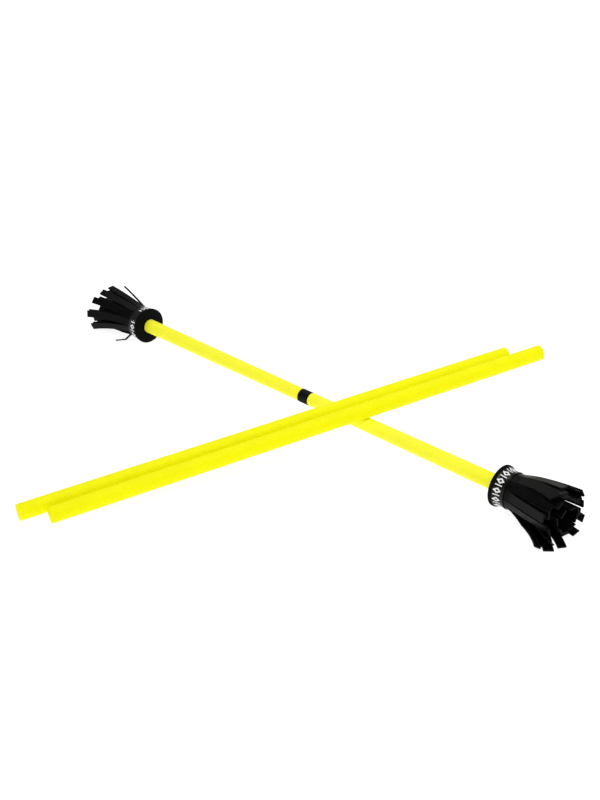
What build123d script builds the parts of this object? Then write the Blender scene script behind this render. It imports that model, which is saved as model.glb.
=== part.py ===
"""Devil stick set: a tasselled centre stick, with two hand sticks lying across it.

Millimetres, +Z up.  The origin is on the floor under the middle of the set, and +X runs along
the centre stick.  A flower (tassel) is a rubber fringe wound round each end of the centre stick:
three inner turns, then an outer turn whose strips each swing on their own root.  In a flower's
own frame, x is the distance from the collar's face towards the strip tips, and y is the radius.
"""

import os
from math import atan, cos, radians, sin

from build123d import *

os.makedirs("parts", exist_ok=True)

# Centre stick
COLLAR_SPAN = 470.0  # from one collar's face to the other's
COLLAR_R = 19.2  # the collars carry the stick, so this is also its height above the floor
SHAFT_END_R = 7.5
SHAFT_MIDDLE_R = 6.55
ROD_R = 4.75
BAND_WIDTH = 13.0
BAND_CENTRE = 2.5  # the band sits a little towards the right flower
BAND_THICKNESS = 0.35
STICK_Y = 60.2

# Collar, measured from its face
WASHER_THICKNESS = 3.0
WASHER_EDGE = 0.6
COLLAR_DEPTH = 15.0  # the fringe turns are bound together as far as this
TAPE_R = (18.6, 17.35)  # behind the washer, and at the collar's mouth
LABEL_THICKNESS = 0.2
LABEL_MARGIN = 0.8
SLEEVE_TAIL = 12.0
ROD_TAIL = 15.0
CAP_TAIL = 22.0
CAP_EDGE = 2.5

# Wound fringe
STRIP_THICKNESS = 1.7
STRIP_WIDTH = 7.4
FIRST_TURN_R = 8.5
TURN_PITCH = 2.5
TURN_STRIPS = (6, 8, 10, 12)
INNER_LENGTH = 58.0
INNER_CURL = ((0.5, 2.5), (0.8, 5.0), (1.0, 8.0))  # degrees, lowest and highest strip of a turn
FIRST_OUTER_ANGLE = 15  # degrees, anticlockwise from +Y round the stick
HINGE_GAP = 0.3

# Outer strips in order round each flower: the outward tilt at the root and the curl from there
# to the tip, in degrees, and the length
OUTER_STRIPS = {
    "left": (
        (9, 4, 57), (22, -4, 52), (11, -4, 58), (8, -4, 58), (10, -2, 60), (13, 2, 59),
        (13, 2, 57), (8, 2, 30), (1, 1, 58), (1, 1, 58), (4, 3, 58), (10, 2, 57),
    ),
    "right": (
        (12, -10, 54), (15, -12, 54), (21, -20, 58), (22, -18, 58), (22, -12, 57), (24, 4, 59),
        (20, 14, 56), (4, 4, 56), (1, 1, 60), (1, 1, 60), (4, 3, 59), (9, 1, 55),
    ),
}

# Hand sticks
HAND_R = 7.5
HAND_ROD_R = 5.0
HAND_YAW = radians(70.5)
PLUG_HEAD = 2.0
PLUG_STEM = 12.0
PLUG_EDGE = 0.6
REST_GAP = 0.4
# Low end's place on the floor, and the length: the sleeves are cut by hand
HAND_STICKS = {"left": (-46.0, -245.8, 499.5), "right": (-23.1, -229.5, 505.8)}

SPAN_HALF = COLLAR_SPAN / 2
BAND_SEAT = BAND_WIDTH + 2 * BAND_CENTRE + 1.0
OUTER_TURN_R = FIRST_TURN_R + 3 * TURN_PITCH
OUTER_RING_R = OUTER_TURN_R + STRIP_THICKNESS / 2
HINGE_S = COLLAR_DEPTH + HINGE_GAP + STRIP_THICKNESS / 2

stick_plane = Plane(origin=(0, STICK_Y, COLLAR_R), x_dir=(1, 0, 0), z_dir=(0, -1, 0))
stick_axis = Axis((0, STICK_Y, COLLAR_R), (1, 0, 0))


def save(piece, name):
    piece.part.label = name
    export_step(piece.part, f"parts/{name}.step")


def ring(start, end, inner, outer):
    """Half section of a ring about the stick, from start to end along it."""
    with Locations((start, inner)):
        Rectangle(end - start, outer - inner, align=(Align.MIN, Align.MIN))


def strip_plane(side, angle):
    """Plane through the stick's axis and the middle of a strip, at an angle round the flower."""
    across = (0, -side * sin(angle), side * cos(angle))
    return Plane(origin=(side * SPAN_HALF, STICK_Y, COLLAR_R), x_dir=(side, 0, 0), z_dir=across)


def strip_profile(root, radius, tilt, curl, length, rounded):
    """Edge-on outline of a strip: one arc from its root, with a rounded or a flat root end."""
    half = STRIP_THICKNESS / 2
    bend = length / radians(curl)
    heading = Vector(cos(radians(tilt)), sin(radians(tilt)))
    outward = Vector(-heading.Y, heading.X)
    middle = Vector(root, radius)
    with BuildSketch() as profile:
        with BuildLine():
            near = JernArc(middle - outward * half, heading, abs(bend + half), curl)
            far = JernArc(middle + outward * half, heading, abs(bend - half), curl)
            Line(near @ 1, far @ 1)
            if rounded:
                ThreePointArc(near @ 0, middle - heading * half, far @ 0)
            else:
                Line(near @ 0, far @ 0)
        make_face()
    return profile.sketch


# ---------------------------------------------------------------- centre stick

with BuildPart() as shaft_core:
    with BuildSketch(stick_plane):
        ring(-SPAN_HALF - ROD_TAIL, SPAN_HALF + ROD_TAIL, 0, ROD_R)
    revolve(axis=stick_axis)
save(shaft_core, "shaft_core")

# The sleeve is thickest at the collars and tapers to the balance band's seat
with BuildPart() as shaft_sleeve:
    with BuildSketch(stick_plane):
        with BuildLine():
            Polyline(
                (0, ROD_R),
                (SPAN_HALF + SLEEVE_TAIL, ROD_R),
                (SPAN_HALF + SLEEVE_TAIL, SHAFT_END_R),
                (SPAN_HALF, SHAFT_END_R),
                (BAND_SEAT / 2, SHAFT_MIDDLE_R),
                (0, SHAFT_MIDDLE_R),
                close=True,
            )
        make_face()
        mirror(about=Plane.YZ)
    revolve(axis=stick_axis)
save(shaft_sleeve, "shaft_sleeve")

with BuildPart() as balance_band:
    with BuildSketch(stick_plane):
        ring(
            BAND_CENTRE - BAND_WIDTH / 2,
            BAND_CENTRE + BAND_WIDTH / 2,
            SHAFT_MIDDLE_R,
            SHAFT_MIDDLE_R + BAND_THICKNESS,
        )
    revolve(axis=stick_axis)
save(balance_band, "balance_band")


# ---------------------------------------------------------------- flowers

for flower, side in (("left", -1), ("right", 1)):
    end_plane = strip_plane(side, radians(90))

    # Stiff washer that the collar is built up against; its rim rests on the floor
    with BuildPart() as collar_washer:
        with BuildSketch(end_plane):
            ring(0, WASHER_THICKNESS, SHAFT_END_R, COLLAR_R)
        revolve(axis=stick_axis)
        rims = collar_washer.edges().filter_by(GeomType.CIRCLE).sort_by(SortBy.RADIUS)[-2:]
        fillet(rims, WASHER_EDGE)
    save(collar_washer, f"{flower}_collar_washer")

    # Soft cap over the end of the rod
    with BuildPart() as shaft_end_cap:
        with BuildSketch(end_plane):
            ring(SLEEVE_TAIL, ROD_TAIL, ROD_R, SHAFT_END_R)
            ring(ROD_TAIL, CAP_TAIL, 0, SHAFT_END_R)
        revolve(axis=stick_axis)
        tip = shaft_end_cap.faces().sort_by(Axis.X)[-1 if side > 0 else 0]
        fillet(tip.edges(), CAP_EDGE)
    save(shaft_end_cap, f"{flower}_shaft_end_cap")

    # Inner turns: a bound base with square-cut strips
    inner_r = SHAFT_END_R
    for turn, (count, curls) in enumerate(zip(TURN_STRIPS, INNER_CURL)):
        turn_r = FIRST_TURN_R + turn * TURN_PITCH
        outer_r = turn_r + TURN_PITCH / 2
        with BuildPart() as fringe_turn:
            with BuildSketch(end_plane):
                ring(WASHER_THICKNESS, COLLAR_DEPTH, inner_r, outer_r)
            revolve(axis=stick_axis)
            for index in range(count):
                angle = radians(90 + 360 * index / count)
                curl = curls[0] + (curls[1] - curls[0]) * (1 + sin(angle)) / 2
                with BuildSketch(strip_plane(side, angle)):
                    add(strip_profile(COLLAR_DEPTH, turn_r, 0, curl, INNER_LENGTH, rounded=False))
                extrude(amount=STRIP_WIDTH / 2, both=True)
        save(fringe_turn, f"{flower}_fringe_turn_{turn + 1}")
        inner_r = outer_r

    # Outer turn: its base, then twelve strips that swing on their rounded roots
    with BuildPart() as fringe_base:
        with BuildSketch(end_plane):
            ring(WASHER_THICKNESS, COLLAR_DEPTH, inner_r, OUTER_RING_R)
        revolve(axis=stick_axis)
    save(fringe_base, f"{flower}_fringe_turn_4_base")

    for index, (tilt, curl, length) in enumerate(OUTER_STRIPS[flower]):
        angle = radians(FIRST_OUTER_ANGLE + 360 * index / TURN_STRIPS[3])
        with BuildPart() as strip:
            with BuildSketch(strip_plane(side, angle)):
                add(strip_profile(HINGE_S, OUTER_TURN_R, tilt, curl, length, rounded=True))
            extrude(amount=STRIP_WIDTH / 2, both=True)
        save(strip, f"{flower}_strip_{index + 1:02d}")

    # Wound tape that binds the fringe, and the printed label round it
    with BuildPart() as collar_tape:
        with BuildSketch(end_plane):
            with BuildLine():
                Polyline(
                    (WASHER_THICKNESS, OUTER_RING_R),
                    (COLLAR_DEPTH, OUTER_RING_R),
                    (COLLAR_DEPTH, TAPE_R[1]),
                    (WASHER_THICKNESS, TAPE_R[0]),
                    close=True,
                )
            make_face()
        revolve(axis=stick_axis)
    save(collar_tape, f"{flower}_collar_tape")

    slope = (TAPE_R[1] - TAPE_R[0]) / (COLLAR_DEPTH - WASHER_THICKNESS)
    label_start = WASHER_THICKNESS + LABEL_MARGIN
    label_end = COLLAR_DEPTH - LABEL_MARGIN
    label_start_r = TAPE_R[0] + slope * LABEL_MARGIN
    label_end_r = TAPE_R[1] - slope * LABEL_MARGIN
    with BuildPart() as collar_label:
        with BuildSketch(end_plane):
            with BuildLine():
                Polyline(
                    (label_start, label_start_r),
                    (label_end, label_end_r),
                    (label_end, label_end_r + LABEL_THICKNESS),
                    (label_start, label_start_r + LABEL_THICKNESS),
                    close=True,
                )
            make_face()
        revolve(axis=stick_axis)
    save(collar_label, f"{flower}_collar_label")


# ---------------------------------------------------------------- hand sticks

for hand, (low_x, low_y, length) in HAND_STICKS.items():
    # The low end is on the floor, and the stick leans on the centre stick's shaft
    run_to_shaft = (STICK_Y - low_y) / sin(HAND_YAW)
    crossing_x = low_x + run_to_shaft * cos(HAND_YAW)
    taper = (SHAFT_END_R - SHAFT_MIDDLE_R) / (SPAN_HALF - BAND_SEAT / 2)
    shaft_r = SHAFT_MIDDLE_R + taper * (crossing_x - BAND_SEAT / 2)
    tilt = atan((COLLAR_R + shaft_r + REST_GAP) / run_to_shaft)
    along = Vector(cos(HAND_YAW) * cos(tilt), sin(HAND_YAW) * cos(tilt), sin(tilt))
    low_end = Vector(low_x, low_y, HAND_R * cos(tilt))
    hand_plane = Plane(origin=low_end, x_dir=along, z_dir=(sin(HAND_YAW), -cos(HAND_YAW), 0))
    hand_axis = Axis(low_end, along)

    with BuildPart() as hand_core:
        with BuildSketch(hand_plane):
            ring(PLUG_HEAD + PLUG_STEM, length - PLUG_HEAD - PLUG_STEM, 0, HAND_ROD_R)
        revolve(axis=hand_axis)
    save(hand_core, f"{hand}_hand_stick_core")

    with BuildPart() as hand_sleeve:
        with BuildSketch(hand_plane):
            ring(PLUG_HEAD, length - PLUG_HEAD, HAND_ROD_R, HAND_R)
        revolve(axis=hand_axis)
    save(hand_sleeve, f"{hand}_hand_stick_sleeve")

    # An end plug's flat head covers the sleeve's end, and its stem fills the bore
    for end, start, inward in (("low", 0, 1), ("high", length, -1)):
        plug_plane = Plane(
            origin=low_end + along * start, x_dir=along * inward, z_dir=hand_plane.z_dir * inward
        )
        with BuildPart() as end_plug:
            with BuildSketch(plug_plane):
                ring(0, PLUG_HEAD, 0, HAND_R)
                ring(PLUG_HEAD, PLUG_HEAD + PLUG_STEM, 0, HAND_ROD_R)
            revolve(axis=hand_axis)
            end_face = end_plug.faces().filter_by(GeomType.PLANE).sort_by(hand_axis)
            fillet(end_face[0 if inward > 0 else -1].edges(), PLUG_EDGE)
        save(end_plug, f"{hand}_hand_stick_{end}_plug")
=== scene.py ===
"""Looks of the devil stick set: a tasselled centre stick and two hand sticks, in metres.

The frame gives every place.  A flower is the tassel at one end of the centre stick.  In its own
coordinates, s runs along the stick from the collar's face towards the strip tips, an angle turns
anticlockwise from +Y round the stick, and a radius is measured from the stick's axis.
"""

import random
from math import cos, pi, radians, sin

import bmesh
import bpy
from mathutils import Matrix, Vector


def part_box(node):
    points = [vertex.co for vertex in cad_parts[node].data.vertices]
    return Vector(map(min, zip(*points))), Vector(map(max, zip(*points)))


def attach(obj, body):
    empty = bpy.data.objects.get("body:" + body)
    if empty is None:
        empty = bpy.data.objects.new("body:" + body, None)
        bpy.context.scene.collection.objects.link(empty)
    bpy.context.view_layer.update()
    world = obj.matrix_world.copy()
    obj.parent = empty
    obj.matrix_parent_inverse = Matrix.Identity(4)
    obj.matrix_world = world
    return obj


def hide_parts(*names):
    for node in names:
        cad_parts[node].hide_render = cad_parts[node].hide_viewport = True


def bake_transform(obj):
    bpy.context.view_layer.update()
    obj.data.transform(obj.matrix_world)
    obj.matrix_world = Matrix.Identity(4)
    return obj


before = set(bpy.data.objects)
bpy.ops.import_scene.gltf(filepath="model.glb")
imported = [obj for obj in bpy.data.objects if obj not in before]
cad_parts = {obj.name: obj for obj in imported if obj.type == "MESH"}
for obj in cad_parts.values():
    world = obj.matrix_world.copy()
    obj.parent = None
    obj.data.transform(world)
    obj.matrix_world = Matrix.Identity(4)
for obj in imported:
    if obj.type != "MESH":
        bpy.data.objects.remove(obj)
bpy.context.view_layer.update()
rng = random.Random(7)

MM = 0.001
SIDES = {"left": -1, "right": 1}
HANDS = ("left", "right")

# ------------------------------------------------------------------ places read from the frame

shaft_low, shaft_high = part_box("shaft_core")
STICK_Y = (shaft_low.y + shaft_high.y) / 2
STICK_Z = (shaft_low.z + shaft_high.z) / 2
FACE_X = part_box("right_collar_washer")[0].x
WASHER_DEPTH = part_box("right_collar_washer")[1].x - FACE_X
COLLAR_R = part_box("right_collar_washer")[1].z - STICK_Z
COLLAR_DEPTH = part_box("right_collar_tape")[1].x - FACE_X
SLEEVE_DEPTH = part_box("shaft_sleeve")[1].x - FACE_X
SHAFT_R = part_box("shaft_sleeve")[1].z - STICK_Z
ROD_R = shaft_high.z - STICK_Z
band_low, band_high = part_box("balance_band")
BAND_R = band_high.z - STICK_Z
RING_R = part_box("right_fringe_turn_4_base")[1].z - STICK_Z

# Thicknesses and edges that the frame's boxes don't give
BAND_THICKNESS = 0.35 * MM
BAND_SEAT_GAP = 0.5 * MM  # straight part of the sleeve beyond the band
TAPE_THICKNESS = 0.15 * MM
LABEL_THICKNESS = 0.2 * MM
WASHER_EDGE = 0.7 * MM
SHEET_EDGE = 0.2 * MM
CAP_EDGE = 2.5 * MM
CAP_SOFTENING = 0.4 * MM

# Hand sticks
HAND_R = 7.5 * MM
HAND_ROD_R = 5.0 * MM
SLEEVE_EDGE = 0.35 * MM
PLUG_HEAD = 2.0 * MM
PLUG_CROWN = 0.6 * MM
PLUG_LIP = 0.25 * MM
PLUG_SHANK = 12.0 * MM
SHANK_EDGE = 0.4 * MM

# Fringe: where the strips are rooted and hinged, and the section of the rubber
ROOT_RADIUS = 16.0 * MM
ROOT_S = 13.0 * MM
INNER_ROOT_S = 12.0 * MM
HINGE_S = 16.15 * MM
FIRST_STRIP_ANGLE = 15
STRIP_SPACING = 30
STRIP_THICKNESS = 1.7 * MM
STRIP_EDGE = 0.18 * MM
HALF_TURN = 1.25 * MM  # half the thickness of one wound turn
BASE_SETBACK = 3.0 * MM  # from the tape's edge to the end of an inner turn's bound base
OUTER_BASE_END = 10.5 * MM
OUTER_BASE_INNER_R = 14.75 * MM
OUTER_BASE_INSET = 0.85 * MM
FLOOR_GAP = 0.3 * MM

# How a strip takes up its shape on the way from root to tip
ROOT_WIDTH = 8.25 * MM
ROOT_FILL = 0.985  # of the room that a strip has in its turn
ROOT_DIP = 0.5 * MM  # how far the tape presses the outer turn in
TILT_SHARE = 0.12
WIDTH_SHARE = 0.35
TWIST_SHARE = 0.4
TWIST_REACH = 23 * MM
SHORT_STRIP = 40 * MM
SHORT_TWIST_REACH = 3 * MM
ROUNDED_REACH = 16 * MM  # the strip is bent round the stick at its root and flat from here on
SIDE_V = 0.0013  # UV step from one side of the section to the next
END_V = 0.01

# A film's end lies over its start: the angles where it starts to climb and how long it takes
CLIMB_START = 352
CLIMB_REACH = 8
LAP_GAP = 1.05  # in thicknesses


# ------------------------------------------------------------------ material helpers


class Nodes:
    """A short way to write a node tree."""

    def __init__(self, tree):
        self.tree = tree

    def add(self, kind, links=None, **settings):
        node = self.tree.nodes.new(kind)
        for key, value in settings.items():
            setattr(node, key, value)
        for key, value in (links or {}).items():
            if isinstance(value, bpy.types.NodeSocket):
                self.tree.links.new(value, node.inputs[key])
            else:
                node.inputs[key].default_value = value
        return node

    def math(self, operation, a, b=0.0, c=0.0):
        return self.add("ShaderNodeMath", {0: a, 1: b, 2: c}, operation=operation).outputs[0]

    def ramp(self, value, *stops):
        node = self.add("ShaderNodeValToRGB", {"Fac": value})
        elements = node.color_ramp.elements
        while len(elements) < len(stops):
            elements.new(0.5)
        for element, (position, colour) in zip(elements, stops):
            element.position = position
            element.color = grey(colour) if isinstance(colour, float) else (*colour, 1)
        return node.outputs["Color"]

    def noise(self, vector, scale, detail=4.0, roughness=0.5):
        links = {"Vector": vector, "Scale": scale, "Detail": detail, "Roughness": roughness}
        return self.add("ShaderNodeTexNoise", links).outputs["Fac"]

    def stretched(self, vector, x, y, z):
        return self.add("ShaderNodeMapping", {"Vector": vector, "Scale": (x, y, z)}).outputs[0]

    def bump(self, height, strength, distance, normal=None):
        links = {"Height": height, "Strength": strength, "Distance": distance}
        if normal:
            links["Normal"] = normal
        return self.add("ShaderNodeBump", links).outputs[0]


def grey(value):
    return (value, value, value, 1)


def new_material(name, **fixed):
    """A material with a Principled shader whose fixed inputs are set on its own sockets."""
    material = bpy.data.materials.new(name)
    material.use_nodes = True
    shader = material.node_tree.nodes["Principled BSDF"]
    for key, value in fixed.items():
        shader.inputs[key.replace("_", " ")].default_value = value
    nodes = Nodes(material.node_tree)
    coords = nodes.add("ShaderNodeTexCoord")
    return material, nodes, shader, coords


def plug_in(nodes, shader, **sockets):
    for key, socket in sockets.items():
        nodes.tree.links.new(socket, shader.inputs[key.replace("_", " ")])


# ------------------------------------------------------------------ materials


def silicone(name, base, shade, glow):
    """Fluorescent silicone: mottled colour, a fine moulded grain and faint handling scuffs, with a
    painted glow.
    """
    material, nodes, shader, coords = new_material(
        name,
        Specular_IOR_Level=0.08,
        # the emission is a painted glow: it stands in for fluorescence and keeps the yellow from
        # going dark
        Emission_Strength=glow,
        Emission_Color=(*base, 1),
    )
    place = coords.outputs["Object"]
    mottle = nodes.noise(place, 55, detail=5, roughness=0.6)
    colour = nodes.ramp(mottle, (0.32, shade), (0.62, base))
    grain = nodes.noise(place, 1500, detail=2)
    ripple = nodes.noise(place, 260, detail=3)
    scuff = nodes.noise(nodes.stretched(place, 1, 1, 3), 320, detail=6, roughness=0.7)
    normal = nodes.bump(ripple, 0.10, 0.0004)
    normal = nodes.bump(grain, 0.16, 0.0001, normal)
    rough = nodes.ramp(scuff, (0.35, 0.42), (0.7, 0.62))
    plug_in(nodes, shader, Base_Color=colour, Roughness=rough, Normal=normal)
    return material


def rubber(name, dust_colour, rough, grain, specular):
    """Black rubber: streaks along the strip (UV x runs along it), fine grain, dusty patches.

    rough holds the lowest and highest roughness, grain its scale and depth.
    """
    material, nodes, shader, coords = new_material(name, Specular_IOR_Level=specular)
    along = coords.outputs["UV"]
    place = coords.outputs["Object"]
    streaks = nodes.noise(nodes.stretched(along, 60, 900, 1), 1, detail=4, roughness=0.6)
    dust = nodes.noise(place, 120, detail=5, roughness=0.65)
    mixed = nodes.math("MULTIPLY", streaks, dust)
    colour = nodes.ramp(mixed, (0.16, RUBBER), (0.42, dust_colour))
    grain_scale, grain_depth = grain
    pores = nodes.noise(place, grain_scale, detail=3, roughness=0.6)
    normal = nodes.bump(streaks, 0.12, 0.0003)
    normal = nodes.bump(pores, 0.3, grain_depth, normal)
    roughness = nodes.ramp(dust, (0.3, rough[0]), (0.7, rough[1]))
    plug_in(nodes, shader, Base_Color=colour, Roughness=roughness, Normal=normal)
    return material


def tape(name, rough, specular):
    """Black wound tape: smooth, with stretch wrinkles round the stick and fingered smears."""
    material, nodes, shader, coords = new_material(
        name, Specular_IOR_Level=specular, Coat_Weight=0.06, Coat_Roughness=0.22
    )
    around = coords.outputs["UV"]
    place = coords.outputs["Object"]
    smear = nodes.noise(place, 180, detail=5, roughness=0.6)
    wrinkle = nodes.noise(nodes.stretched(around, 14, 900, 1), 1, detail=3)
    colour = nodes.ramp(smear, (0.3, (0.0015, 0.0015, 0.0018)), (0.7, (0.004, 0.004, 0.005)))
    roughness = nodes.ramp(smear, (0.3, rough[0]), (0.7, rough[1]))
    normal = nodes.bump(wrinkle, 0.25, 0.0004)
    plug_in(nodes, shader, Base_Color=colour, Roughness=roughness, Normal=normal)
    return material


# The label's print, in shares of one repeat round the stick and of the label's width across it
LOZENGE_PLACE = 0.4
LOZENGE_HALF = (0.3, 0.37)
LOZENGE_HOLE = 0.42  # share of the lozenge that is left black inside
BAR_PLACE = 0.86
BAR_HALF = (0.055, 0.31)
PRINT_MIDDLE = 0.39
BLANK_PLACE = 0.665  # round the whole label
BLANK_HALF = 0.055


def printed_label(name, repeats):
    """Glossy black film, printed with a plain row of white lozenges between short bars."""
    material, nodes, shader, coords = new_material(
        name, Specular_IOR_Level=0.15, Coat_Weight=0.08, Coat_Roughness=0.12
    )
    split = nodes.add("ShaderNodeSeparateXYZ", {"Vector": coords.outputs["UV"]})
    place = coords.outputs["Object"]
    step = nodes.math("FRACT", nodes.math("MULTIPLY", split.outputs["X"], repeats))
    x = nodes.math("ABSOLUTE", nodes.math("SUBTRACT", step, LOZENGE_PLACE))
    y = nodes.math("ABSOLUTE", nodes.math("SUBTRACT", split.outputs["Y"], PRINT_MIDDLE))
    across, up = LOZENGE_HALF
    reach = nodes.math("ADD", nodes.math("DIVIDE", x, across), nodes.math("DIVIDE", y, up))
    lozenge = nodes.math("LESS_THAN", reach, 1.0)
    ring = nodes.math("MULTIPLY", lozenge, nodes.math("GREATER_THAN", reach, LOZENGE_HOLE))
    bar_x = nodes.math("COMPARE", step, BAR_PLACE, BAR_HALF[0])
    bar = nodes.math("MULTIPLY", bar_x, nodes.math("LESS_THAN", y, BAR_HALF[1]))
    from_blank = nodes.math("SUBTRACT", split.outputs["X"], BLANK_PLACE)
    printed = nodes.math("GREATER_THAN", nodes.math("ABSOLUTE", from_blank), BLANK_HALF)
    ink = nodes.math("MULTIPLY", nodes.math("MAXIMUM", ring, bar), printed)
    worn = nodes.noise(place, 2200, detail=3)
    fill = nodes.math("MULTIPLY", ink, nodes.ramp(worn, (0.2, 0.55), (0.42, 1.0)))
    colour = nodes.ramp(fill, (0.0, (0.0025, 0.0022, 0.0022)), (1.0, (0.86, 0.86, 0.84)))
    smear = nodes.noise(place, 150, detail=4)
    rough = nodes.ramp(smear, (0.3, 0.16), (0.7, 0.34))
    normal = nodes.bump(nodes.noise(place, 220, detail=2), 0.2, 0.0003)
    plug_in(nodes, shader, Base_Color=colour, Roughness=rough, Normal=normal)
    return material


def glass_fibre(name):
    """Pultruded rod: pale resin with long glass streaks."""
    material, nodes, shader, coords = new_material(name, Specular_IOR_Level=0.5)
    place = coords.outputs["Object"]
    streaks = nodes.noise(nodes.stretched(place, 30, 2500, 2500), 1, detail=4, roughness=0.6)
    colour = nodes.ramp(streaks, (0.3, (0.62, 0.58, 0.44)), (0.7, (0.85, 0.83, 0.74)))
    rough = nodes.ramp(streaks, (0.3, 0.25), (0.7, 0.45))
    normal = nodes.bump(streaks, 0.2, 0.0001)
    plug_in(nodes, shader, Base_Color=colour, Roughness=rough, Normal=normal)
    return material


def studio_floor(name):
    """Matt white sheet, lit from behind as in a product studio."""
    material, nodes, shader, coords = new_material(
        name,
        Roughness=0.9,
        Specular_IOR_Level=0.0,
        Emission_Color=grey(1.0),
        Emission_Strength=0.9,
    )
    cloud = nodes.noise(coords.outputs["Object"], 3, detail=2)
    colour = nodes.ramp(cloud, (0.3, 0.29), (0.7, 0.31))
    plug_in(nodes, shader, Base_Color=colour)
    return material


YELLOW = (0.95, 0.93, 0.0015)
YELLOW_SHADE = (0.91, 0.89, 0.001)
STICK_YELLOW = (0.98, 0.95, 0.045)
STICK_SHADE = (0.95, 0.92, 0.035)
RUBBER = (0.0009, 0.0009, 0.001)

# glow sets the strength of the painted glow that the silicone's emission adds
MAT_STICK = silicone("stick_silicone", STICK_YELLOW, STICK_SHADE, glow=0.04)
MAT_HAND = silicone("hand_silicone", YELLOW, YELLOW_SHADE, glow=0.02)
MAT_FACE = rubber("strip_face", 0.002, rough=(0.27, 0.44), grain=(900, 1e-4), specular=0.07)
MAT_CUT = rubber("strip_cut_edge", 0.009, rough=(0.6, 0.85), grain=(2200, 2e-4), specular=0.08)
MAT_WASHER = rubber("washer_rubber", 0.003, rough=(0.55, 0.8), grain=(1800, 1e-4), specular=0.05)
MAT_CAP = rubber("cap_rubber", 0.02, rough=(0.5, 0.7), grain=(1500, 1e-4), specular=0.1)
MAT_TAPE = tape("collar_tape_gloss", rough=(0.16, 0.36), specular=0.12)
MAT_BAND = tape("band_tape_satin", rough=(0.4, 0.6), specular=0.05)
MAT_LABEL = printed_label("label_print", repeats=12)
MAT_ROD = glass_fibre("glass_fibre_rod")
MAT_FLOOR = studio_floor("studio_floor")


# ------------------------------------------------------------------ mesh helpers


def make_object(name, verts, faces, uvs, materials, indices=None, sharp=35):
    """A mesh object with one UV per vertex of each face, smooth but for its sharp edges."""
    mesh = bpy.data.meshes.new(name)
    mesh.from_pydata([tuple(v) for v in verts], [], faces)
    layer = mesh.uv_layers.new(name="along_across")
    layer.data.foreach_set("uv", [value for face in uvs for pair in face for value in pair])
    for material in materials:
        mesh.materials.append(material)
    mesh.polygons.foreach_set("use_smooth", [True] * len(faces))
    if indices:
        mesh.polygons.foreach_set("material_index", indices)
    mesh.set_sharp_from_angle(angle=radians(sharp))
    mesh.update()
    obj = bpy.data.objects.new(name, mesh)
    bpy.context.scene.collection.objects.link(obj)
    return obj


def lathe(name, base, direction, profile, material, steps=96, closed=False):
    """Turns a profile of (distance along direction, radius) points round a line from base.

    A closed profile makes a ring; an open one starts and ends on the axis.
    """
    direction = direction.normalized()
    side = direction.orthogonal().normalized()
    third = direction.cross(side)
    count = len(profile)
    lengths = [0.0]
    for (x0, r0), (x1, r1) in zip(profile, profile[1:] + profile[:1]):
        lengths.append(lengths[-1] + ((x1 - x0) ** 2 + (r1 - r0) ** 2) ** 0.5)
    verts = []
    for x, r in profile:
        for k in range(steps):
            turn = 2 * pi * k / steps
            verts.append(base + direction * x + (side * cos(turn) + third * sin(turn)) * r)
    faces, uvs = [], []
    for i in range(count if closed else count - 1):
        j = (i + 1) % count
        for k in range(steps):
            m = (k + 1) % steps
            faces.append((i * steps + k, i * steps + m, j * steps + m, j * steps + k))
            u0, u1 = k / steps, (k + 1) / steps
            v0, v1 = lengths[i], lengths[i + 1]
            uvs.append(((u0, v0), (u1, v0), (u1, v1), (u0, v1)))
    obj = make_object(name, verts, faces, uvs, [material])
    weld(obj)
    return obj


def weld(obj, distance=1e-7):
    """Joins the vertices that meet on the axis and drops the faces they leave without area."""
    work = bmesh.new()
    work.from_mesh(obj.data)
    bmesh.ops.remove_doubles(work, verts=work.verts, dist=distance)
    bmesh.ops.dissolve_degenerate(work, edges=work.edges, dist=distance)
    bmesh.ops.recalc_face_normals(work, faces=work.faces)
    work.to_mesh(obj.data)
    work.free()


def rounded(x0, x1, inner, outer, edge, steps=4):
    """Closed outline of a ring's section, with its two outer edges rounded."""
    points = [(x0, inner)]
    for k in range(steps + 1):
        turn = pi / 2 * k / steps
        points.append((x0 + edge * (1 - cos(turn)), outer - edge * (1 - sin(turn))))
    for k in range(steps + 1):
        turn = pi / 2 * k / steps
        points.append((x1 - edge * (1 - sin(turn)), outer - edge * (1 - cos(turn))))
    points.append((x1, inner))
    return points


def wrap(name, side, profile, thickness, start, overlap, material):
    """A film wound once round the stick, with its end lying over its start.

    profile lists (s, inner radius) across the film; start and overlap are angles in degrees.
    """
    total = 360 + overlap
    steps = 150
    rows = len(profile) - 1
    across = [(s - profile[0][0]) / (profile[-1][0] - profile[0][0]) for s, _ in profile]
    verts, faces, uvs = [], [], []
    for k in range(steps + 1):
        angle = total * k / steps
        climb = max(0.0, min(1.0, (angle - CLIMB_START) / CLIMB_REACH))
        outward = radians(start + angle)
        for layer in (0, 1):
            for s, r in profile:
                radius = r + thickness * (climb * LAP_GAP + layer)
                verts.append(stick_point(side, s, radius, outward))
    width = 2 * (rows + 1)

    def corner(k, layer, row):
        return k * width + layer * (rows + 1) + row

    def add(*corners):
        faces.append([corner(*c) for c in corners])
        uvs.append([(total / 360 * k / steps, across[row]) for k, _, row in corners])

    for k in range(steps):
        for row in range(rows):
            add((k, 0, row), (k + 1, 0, row), (k + 1, 0, row + 1), (k, 0, row + 1))
            add((k, 1, row), (k, 1, row + 1), (k + 1, 1, row + 1), (k + 1, 1, row))
        add((k, 0, 0), (k, 1, 0), (k + 1, 1, 0), (k + 1, 0, 0))
        add((k, 0, rows), (k + 1, 0, rows), (k + 1, 1, rows), (k, 1, rows))
    for k in (0, steps):
        for row in range(rows):
            add((k, 0, row), (k, 0, row + 1), (k, 1, row + 1), (k, 1, row))
    obj = make_object(name, verts, faces, uvs, [material])
    weld(obj)
    return obj


def stick_point(side, s, radius=0.0, angle=0.0):
    outward = Vector((0, cos(angle), sin(angle)))
    return Vector((side * (FACE_X + s), STICK_Y, STICK_Z)) + outward * radius


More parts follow.
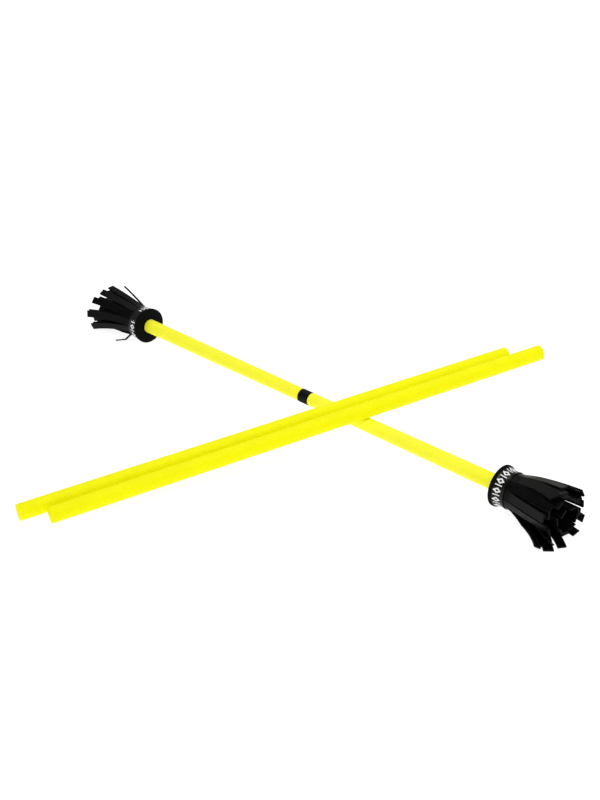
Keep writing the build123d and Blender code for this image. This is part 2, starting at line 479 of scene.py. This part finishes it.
def strip_section(width, thickness):
    """Points (across, out) round a strip's section, and whether each side is a cut edge."""
    half_w, half_t, e = width / 2, thickness / 2, STRIP_EDGE
    across = [-half_w + e + (width - 2 * e) * k / 4 for k in range(5)]
    points = [(a, -half_t) for a in across]
    points += [(half_w, -half_t + e), (half_w, half_t - e)]
    points += [(a, half_t) for a in reversed(across)]
    points += [(-half_w, half_t - e), (-half_w, -half_t + e)]
    cut = [False] * 4 + [True] * 3 + [False] * 4 + [True] * 3
    return points, cut


def strip_mesh(side, angle, radius, root, shape, skew, steps=30):
    """Vertices, faces, UVs and material indices of one rubber strip.

    It leaves its root along the stick, tilts outwards, and curls and sways steadily on the way to
    its tip; its twist is complete part of the way along.  What would sink below the floor lies on
    it instead.  skew slants the cut end.
    """
    tilt, curl, sway, twist, length, tip_width = shape
    turn = radians(angle)
    axial = Vector((side, 0, 0))
    outward = Vector((0, cos(turn), sin(turn)))
    sideways = Vector((0, -sin(turn), cos(turn)))
    root_width = min(ROOT_WIDTH, 2 * radius * sin(pi / TURN_COUNT[radius]) * ROOT_FILL)
    dip = ROOT_DIP if radius == ROOT_RADIUS else 0.0
    twist_reach = TWIST_REACH if length > SHORT_STRIP else SHORT_TWIST_REACH
    twist_reach = min(TWIST_SHARE * length, twist_reach)
    lead = HINGE_S - root
    step = (length + lead) / steps
    centre = stick_point(side, root, radius - dip, turn)
    verts = []
    for i in range(steps + 1):
        travelled = max(0.0, i * step - lead)
        heading = axial
        if travelled > 0:
            middle = max(0.0, (i - 0.5) * step - lead) / length
            rise = radians(tilt * min(1, middle / TILT_SHARE) + curl * middle)
            drift = radians(sway * middle)
            heading = (axial * cos(rise) + outward * sin(rise)) * cos(drift) + sideways * sin(drift)
        if i:
            centre = centre + heading * step
        if 0 < i * step <= lead + step:
            centre = centre + outward * dip * min(1.0, step / (lead + step))
        normal = outward - heading * outward.dot(heading)
        normal.normalize()
        across = normal.cross(heading) * side
        roll = radians(-side * twist * min(1.0, travelled / twist_reach))
        across, normal = (
            across * cos(roll) + normal * sin(roll),
            normal * cos(roll) - across * sin(roll),
        )
        spread = min(1.0, travelled / (WIDTH_SHARE * length))
        width = root_width + (tip_width - root_width) * spread
        points, cut = strip_section(width, STRIP_THICKNESS)
        hug = max(0.0, 1 - travelled / ROUNDED_REACH) ** 2
        ring = []
        for a, o in points:
            sag = radius * (cos(a / radius) - 1) * hug
            end = skew * a if i == steps else 0.0
            ring.append(centre + across * a + normal * (o + sag) + heading * end)
        lift = Vector((0, 0, max(0.0, FLOOR_GAP - min(v.z for v in ring))))
        centre = centre + lift
        verts += [v + lift for v in ring]
    count = len(points)
    faces, uvs, indices = [], [], []
    for i in range(steps):
        for k in range(count):
            m = (k + 1) % count
            here, there = i * count, (i + 1) * count
            faces.append((here + k, here + m, there + m, there + k))
            u0, u1 = i * step, (i + 1) * step
            v0, v1 = k * SIDE_V, (k + 1) * SIDE_V
            uvs.append(((u0, v0), (u0, v1), (u1, v1), (u1, v0)))
            indices.append(1 if cut[k] else 0)
    for i in (0, steps):
        loop = [i * count + k for k in range(count)]
        faces.append(loop if i else loop[::-1])
        section = points if i else points[::-1]
        uvs.append([(i * step + out, across + END_V) for across, out in section])
        indices.append(1)
    return verts, faces, uvs, indices


def joined(name, parts, materials):
    """One object from several (verts, faces, uvs, indices)."""
    verts, faces, uvs, indices = [], [], [], []
    for v, f, u, m in parts:
        offset = len(verts)
        verts += v
        faces += [[offset + k for k in face] for face in f]
        uvs += u
        indices += m
    return make_object(name, verts, faces, uvs, materials, indices)


# ------------------------------------------------------------------ camera, light and floor

CAMERA_PLACE = Vector((0.7577, -0.7899, 0.6052))  # from the floor point under the stick's middle
CAMERA_TURN = 43.89
CAMERA_DIP = 28.37

camera_data = bpy.data.cameras.new("camera")
camera_data.lens = 57.0
camera_data.sensor_width = 36
camera_data.shift_x = -0.0041
camera_data.shift_y = 0.0011
camera_data.clip_start = 0.05
camera = bpy.data.objects.new("camera", camera_data)
camera.location = CAMERA_PLACE + Vector((0, STICK_Y, 0))
camera.rotation_euler = (radians(90 - CAMERA_DIP), 0, radians(CAMERA_TURN))
bpy.context.scene.collection.objects.link(camera)
bpy.context.scene.camera = camera

WORLD_GLOW = 0.36
scene = bpy.context.scene
scene.view_settings.view_transform = "Standard"
world = bpy.data.worlds.new("studio")
world.use_nodes = True
world.node_tree.nodes["Background"].inputs["Color"].default_value = (1, 1, 1, 1)
world.node_tree.nodes["Background"].inputs["Strength"].default_value = WORLD_GLOW
scene.world = world


def softbox(name, place, target, size, power):
    light = bpy.data.lights.new(name, "AREA")
    light.shape = "RECTANGLE"
    light.size, light.size_y = size
    light.energy = power
    obj = bpy.data.objects.new(name, light)
    obj.location = place
    obj.rotation_euler = (Vector(target) - Vector(place)).to_track_quat("-Z", "Y").to_euler()
    scene.collection.objects.link(obj)
    return obj


STICK_YAW = radians(70.5)
key = softbox("key", (0.70, -0.22, 1.45), (0, 0.05, 0), (1.7, 0.28), 10)
key.rotation_euler.rotate_axis("Z", STICK_YAW - key.matrix_basis.to_euler().z)  # along the sticks
softbox("overhead", (-0.5, 0.6, 1.9), (0, 0, 0), (2.2, 1.6), 17)

FLOOR_REACH = 14
WALL_HEIGHT = 3.2


def backdrop():
    """A round white floor with a low white wall at its far edge."""
    steps = 64
    turns = [2 * pi * k / steps for k in range(steps)]
    rim = [(FLOOR_REACH * cos(turn), FLOOR_REACH * sin(turn)) for turn in turns]
    verts = [(x, y, 0) for x, y in rim] + [(x, y, WALL_HEIGHT) for x, y in rim]
    faces = [list(range(steps))]
    faces += [(k, (k + 1) % steps, steps + (k + 1) % steps, steps + k) for k in range(steps)]
    mesh = bpy.data.meshes.new("floor")
    mesh.from_pydata(verts, [], faces)
    mesh.materials.append(MAT_FLOOR)
    floor = bpy.data.objects.new("floor", mesh)
    scene.collection.objects.link(floor)


backdrop()


# ------------------------------------------------------------------ centre stick

middle_r = BAND_R - BAND_THICKNESS
seat = band_high.x + BAND_SEAT_GAP
stick_middle = stick_point(1, -FACE_X)
outer = [
    (-FACE_X - SLEEVE_DEPTH, SHAFT_R),
    (-FACE_X, SHAFT_R),
    (-seat, middle_r),
    (seat, middle_r),
    (FACE_X, SHAFT_R),
    (FACE_X + SLEEVE_DEPTH, SHAFT_R),
]
sleeve_profile = [(-FACE_X - SLEEVE_DEPTH, ROD_R)]
for (x0, r0), (x1, r1) in zip(outer, outer[1:]):
    count = 40 if abs(x1 - x0) > 100 * MM else 4
    for k in range(count):
        sleeve_profile.append((x0 + (x1 - x0) * k / count, r0 + (r1 - r0) * k / count))
sleeve_profile += [outer[-1], (FACE_X + SLEEVE_DEPTH, ROD_R)]
along_stick = Vector((1, 0, 0))
sleeve = lathe("shaft_grip", stick_middle, along_stick, sleeve_profile, MAT_STICK, closed=True)
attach(sleeve, "centre_stick")
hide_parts("shaft_sleeve")

band = wrap(
    "balance_band_tape",
    side=1,
    profile=[(band_low.x - FACE_X, middle_r), (band_high.x - FACE_X, middle_r)],
    thickness=BAND_THICKNESS * 0.48,  # two layers where it overlaps
    start=200,
    overlap=30,
    material=MAT_BAND,
)
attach(band, "centre_stick")
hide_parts("balance_band")

for node in ("shaft_core", "left_hand_stick_core", "right_hand_stick_core"):
    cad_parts[node].data.materials[0] = MAT_ROD


# ------------------------------------------------------------------ flowers

# Outer strips in order round each flower: outward tilt at the root, curl from there to the tip,
# sideways sway and twist at the tip, all in degrees, then length and width at the tip in mm
OUTER_STRIPS = {
    "left": (
        (7, 4, 0, 0, 57, 7.4), (17.9, -4, -2.3, -3, 50, 7.0), (11.1, -6, 1.3, 17, 57, 7.4),
        (7.6, -4, 1.1, 8, 58, 7.4), (9.3, -2, 6, 0, 58, 7.4), (12.3, 2, 12, 0, 58, 7.4),
        (10.8, 4, 16, 0, 57, 7.2), (62, 10, 4.4, 44, 25, 6.0), (6, 2, -6, 0, 58, 7.4),
        (4, 2, 0, 0, 58, 7.4), (8, 2, 0, 0, 58, 7.4), (10, 2, 0, 0, 57, 7.4),
    ),
    "right": (
        (7.9, -8, 6.3, -4, 54, 10.0), (12.5, -10, 0.2, 18, 56, 8.0), (15.2, -8, 21.3, -12, 50, 7.6),
        (19.2, -6, 24, 0, 53, 10.2), (13.7, -4, 4, 0, 50, 9.8), (20.5, 2, -4.3, 0, 53, 7.6),
        (10.7, 4, -12, 0, 53, 7.4), (14.2, 34, -11.9, -8, 58, 7.4), (14, 4, -44, -10, 65, 9.0),
        (5, 2, -46, 0, 70, 7.6), (-1.2, 2, -18.1, 16, 61, 7.4), (8.4, -2, -11.4, -8, 57, 7.4),
    ),
}
STRAYS = {"left": (1, 7), "right": ()}  # strips that stand off from the rest
# Inner turns: root radius and strip count, and how far each flower's turn follows the outer one
INNER_TURNS = {1: (8.5 * MM, 6), 2: (11.0 * MM, 8), 3: (13.5 * MM, 10)}
FOLLOWS = {"left": (0.6, 0.8, 0.95), "right": (0.3, 0.6, 1.0)}
MOST_INNER_TILT = 24
TURN_COUNT = dict(INNER_TURNS.values())
TURN_COUNT[ROOT_RADIUS] = 12
STRIP_MATERIALS = [MAT_FACE, MAT_CUT]


def outer_at(flower, angle):
    """Tilt, curl, sway and twist of the outer turn at any angle, strays left out."""
    rows = list(OUTER_STRIPS[flower])
    count = len(rows)
    for k in STRAYS[flower]:
        rows[k] = [(a + b) / 2 for a, b in zip(rows[k - 1], rows[(k + 1) % count])]
    place = ((angle - FIRST_STRIP_ANGLE) / STRIP_SPACING) % count
    first = int(place) % count
    share = place - int(place)
    near, far = rows[first], rows[(first + 1) % count]
    return [a + (b - a) * share for a, b in zip(near[:4], far[:4])]


# The wound tape's outer radius along the collar, as (s, radius) in millimetres: the right flower
# is bound tighter, so its collar has a waist
TAPE_PROFILES = {
    "left": [
        (3.0, 18.6), (3.8, 18.5), (6.0, 18.25), (9.0, 17.9), (12.0, 17.6), (14.2, 17.4),
        (15.0, 17.3),
    ],
    "right": [
        (3.0, 18.4), (3.5, 18.0), (5.0, 17.3), (7.0, 16.75), (9.0, 16.5), (11.0, 16.5),
        (12.8, 16.7), (13.9, 16.9), (14.6, 17.0),
    ],
}
TAPE_PROFILES = {key: [(s * MM, r * MM) for s, r in rows] for key, rows in TAPE_PROFILES.items()}
LABEL_START = {"left": 250, "right": 60}
TAPE_START, TAPE_OVERLAP = 290, 60
LABEL_OVERLAP = 8


def collar(flower, side):
    """Washer, base turns, wound tape and printed label."""
    face, axial = stick_point(side, 0), Vector((side, 0, 0))
    outline = rounded(0, WASHER_DEPTH, SHAFT_R, COLLAR_R, WASHER_EDGE)
    washer = lathe(f"{flower}_collar_rim", face, axial, outline, MAT_WASHER, closed=True)
    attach(washer, "centre_stick")
    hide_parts(f"{flower}_collar_washer")

    outline = rounded(
        WASHER_DEPTH, OUTER_BASE_END, OUTER_BASE_INNER_R, RING_R - OUTER_BASE_INSET, SHEET_EDGE
    )
    base = lathe(f"{flower}_outer_turn_base", face, axial, outline, MAT_FACE, closed=True)
    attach(base, "centre_stick")
    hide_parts(f"{flower}_fringe_turn_4_base")

    tape_profile = TAPE_PROFILES[flower]
    binding = wrap(
        f"{flower}_collar_winding", side, [(s, r - TAPE_THICKNESS) for s, r in tape_profile],
        TAPE_THICKNESS, TAPE_START, TAPE_OVERLAP, MAT_TAPE,
    )
    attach(binding, "centre_stick")
    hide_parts(f"{flower}_collar_tape")

    over_lap = 1.1 * TAPE_THICKNESS  # the label lies over the tape's doubled part too
    label = wrap(
        f"{flower}_label_wrap", side, [(s, r + over_lap) for s, r in tape_profile[1:-1]],
        LABEL_THICKNESS / 2, LABEL_START[flower], LABEL_OVERLAP, MAT_LABEL,
    )
    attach(label, "centre_stick")
    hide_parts(f"{flower}_collar_label")

    cap_low, cap_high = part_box(f"{flower}_shaft_end_cap")
    cap_r = cap_high.z - STICK_Z
    cap_depth = cap_high.x - cap_low.x
    inner_end = min(abs(cap_low.x), abs(cap_high.x)) - FACE_X
    dome = [(0.0, 0.0), (0.0, cap_r - CAP_SOFTENING), (CAP_SOFTENING, cap_r)]
    for k in range(7):
        turn = pi / 2 * k / 6
        dome.append((cap_depth - CAP_EDGE * (1 - sin(turn)), cap_r - CAP_EDGE * (1 - cos(turn))))
    dome.append((cap_depth, 0.0))
    cap = lathe(f"{flower}_end_cap", stick_point(side, inner_end), axial, dome, MAT_CAP)
    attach(cap, "centre_stick")
    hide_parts(f"{flower}_shaft_end_cap")


def inner_turn(flower, side, turn):
    """One inner turn: its strips, which follow the outer ones loosely, and its bound base."""
    radius, count = INNER_TURNS[turn]
    follow = FOLLOWS[flower][turn - 1]
    inside = SHAFT_R if turn == 1 else radius - HALF_TURN
    parts = []
    for index in range(count):
        angle = 90 + 360 * index / count
        tilt, curl, sway, twist = outer_at(flower, angle)
        shape = (
            min(tilt, MOST_INNER_TILT) * follow + rng.uniform(-1.5, 1.5),
            curl * follow + rng.uniform(-3, 3),
            sway * follow + rng.uniform(-4, 4),
            twist * follow * 0.5 + rng.uniform(-12, 12),
            (57 + rng.uniform(-2.5, 2)) * MM,
            (7.2 + rng.uniform(-0.4, 0.4)) * MM,
        )
        skew = rng.uniform(-0.12, 0.12)
        parts.append(strip_mesh(side, angle, radius, INNER_ROOT_S, shape, skew))
    strips = joined(f"{flower}_inner_turn_{turn}_strips", parts, STRIP_MATERIALS)
    outline = rounded(
        WASHER_DEPTH, COLLAR_DEPTH - BASE_SETBACK, inside, radius + HALF_TURN, SHEET_EDGE
    )
    ring = lathe(
        f"{flower}_inner_turn_{turn}_base", stick_point(side, 0), Vector((side, 0, 0)), outline,
        MAT_FACE, closed=True,
    )
    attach(strips, "centre_stick")
    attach(ring, "centre_stick")
    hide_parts(f"{flower}_fringe_turn_{turn}")


def outer_strips(flower, side):
    """The outer turn's strips, each blended across its hinge."""
    for index, (*bends, length, width) in enumerate(OUTER_STRIPS[flower]):
        angle = FIRST_STRIP_ANGLE + STRIP_SPACING * index
        name = f"{flower}_strip_{index + 1:02d}"
        shape = (*bends, length * MM, width * MM)
        part = strip_mesh(side, angle, ROOT_RADIUS, ROOT_S, shape, rng.uniform(-0.1, 0.1))
        strip = joined(f"{name}_ribbon", [part], STRIP_MATERIALS)
        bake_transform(strip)
        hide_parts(name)


for flower, side in SIDES.items():
    collar(flower, side)
    for turn in INNER_TURNS:
        inner_turn(flower, side, turn)
    outer_strips(flower, side)


# ------------------------------------------------------------------ hand sticks


def hand_line(hand):
    """Where a hand stick starts, its direction and its length, from its plugs' meshes."""
    ends = []
    for end in ("low", "high"):
        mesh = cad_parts[f"{hand}_hand_stick_{end}_plug"].data
        ends.append([v.co for v in mesh.vertices])
    centres = [sum(points, Vector()) / len(points) for points in ends]
    direction = (centres[1] - centres[0]).normalized()
    low = min(ends[0], key=direction.dot)
    high = max(ends[1], key=direction.dot)
    start = centres[0] + direction * (low - centres[0]).dot(direction)
    return start, direction, (high - low).dot(direction)


def hand_stick(hand):
    """A hand stick's sleeve and the two plugs in its ends."""
    start, direction, length = hand_line(hand)
    body = f"{hand}_hand_stick"
    profile = rounded(PLUG_HEAD, length - PLUG_HEAD, HAND_ROD_R, HAND_R, SLEEVE_EDGE)
    half = len(profile) // 2
    first, last = profile[half - 1][0], profile[half][0]
    between = [(first + (last - first) * k / 60, HAND_R) for k in range(1, 60)]
    outline = profile[:half] + between + profile[half:]
    grip = lathe(f"{body}_grip", start, direction, outline, MAT_HAND, closed=True)
    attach(grip, body)
    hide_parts(f"{body}_sleeve")
    tip = PLUG_HEAD + PLUG_SHANK
    ends = {"low": (start, direction), "high": (start + direction * length, -direction)}
    for end, (base, inward) in ends.items():
        face = [(0.0, 0.0), (0.0, HAND_R * 0.5)]
        for k in range(7):
            turn = pi / 2 * k / 6
            face.append((PLUG_CROWN * (1 - cos(turn)), HAND_R - PLUG_CROWN * (1 - sin(turn))))
        face += [
            (PLUG_HEAD - PLUG_LIP, HAND_R),
            (PLUG_HEAD, HAND_R - PLUG_LIP),
            (PLUG_HEAD, HAND_ROD_R),
            (tip - SHANK_EDGE, HAND_ROD_R),
            (tip, HAND_ROD_R - SHANK_EDGE),
            (tip, 0.0),
        ]
        plug = lathe(f"{body}_{end}_cap", base, inward, face, MAT_HAND)
        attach(plug, body)
        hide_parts(f"{body}_{end}_plug")


for hand in HANDS:
    hand_stick(hand)
